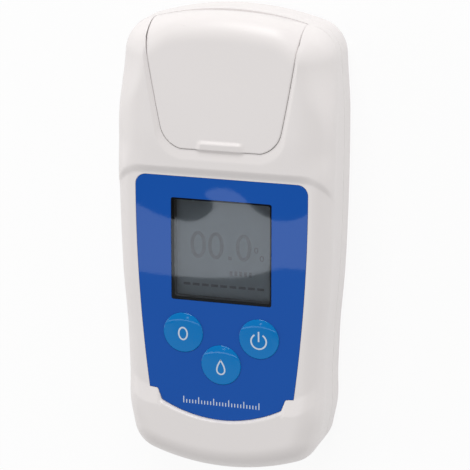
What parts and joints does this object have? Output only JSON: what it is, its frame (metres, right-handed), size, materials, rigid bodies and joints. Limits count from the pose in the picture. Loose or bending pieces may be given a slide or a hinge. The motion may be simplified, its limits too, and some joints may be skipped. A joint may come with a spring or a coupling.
{
  "type": "digital refractometer",
  "caption": "Hand-held instrument with a hinged lid over a steel sample well, a display window, three keys and a sliding battery door.",
  "frame": {"origin": "under the middle of the case, on the plane that the back rests on", "axes": "+Y towards the lid end along the case, +X to the right of the face, +Z out of the face"},
  "size_m": [0.058, 0.122, 0.025],
  "materials": {
    "case_white": "satin moulded",
    "label_blue": "gloss film",
    "key_blue": "gloss",
    "window_clear": "polished",
    "display_grey": "satin",
    "frame_black": "matte",
    "backlight_white": "matte",
    "board_green": "satin",
    "chip_black": "matte",
    "steel": "turned",
    "prism_glass": "polished",
    "rubber_black": "matte",
    "block_black": "anodised",
    "lens_clear": "polished",
    "cell_jacket": "printed jacket",
    "contact_nickel": "plated"
  },
  "bodies": {
    "case": {"front_case": "case_white", "rear_case": "case_white", "case_gasket": "rubber_black", "case_screws": "steel", "board_screws": "steel", "label_panel": "label_blue", "display_window": "window_clear", "display_frame": "frame_black", "display_glass": "display_grey", "display_backlight": "backlight_white", "main_board": "board_green", "board_chips": "chip_black", "switch_bodies": "chip_black", "sample_stage": "steel", "prism": "prism_glass", "prism_seal": "rubber_black", "optics_block": "block_black", "led_source": "lens_clear", "collimating_lens": "lens_clear", "line_sensor": "chip_black", "sensor_board": "board_green", "temperature_probe": "steel", "battery_cell": "cell_jacket", "battery_spring": "contact_nickel", "battery_plate": "contact_nickel", "hinge_pin": "steel"},
    "lid": {"lid": "case_white", "lid_liner": "rubber_black"},
    "battery_door": {"battery_door": "case_white"},
    "zero_key": {"zero_key": "key_blue", "zero_plunger": "chip_black"},
    "power_key": {"power_key": "key_blue", "power_plunger": "chip_black"},
    "measure_key": {"measure_key": "key_blue", "measure_plunger": "chip_black"}
  },
  "joints": [
    {"name": "lid_hinge", "type": "hinge", "parent": "case", "child": "lid", "pos_m": [0, 0.0543, 0.0173], "axis": [-1, 0, 0], "range_deg": [0, 95]},
    {"name": "battery_door_slide", "type": "slide", "parent": "case", "child": "battery_door", "axis": [0, -1, 0], "range_m": [0, 0.009]},
    {"name": "zero_press", "type": "slide", "parent": "case", "child": "zero_key", "axis": [0, 0, -1], "range_m": [0, 0.0004], "stiffness_N_per_m": 800, "springref_m": -0.0008},
    {"name": "power_press", "type": "slide", "parent": "case", "child": "power_key", "axis": [0, 0, -1], "range_m": [0, 0.0004], "stiffness_N_per_m": 800, "springref_m": -0.0008},
    {"name": "measure_press", "type": "slide", "parent": "case", "child": "measure_key", "axis": [0, 0, -1], "range_m": [0, 0.0004], "stiffness_N_per_m": 800, "springref_m": -0.0008}
  ]
}
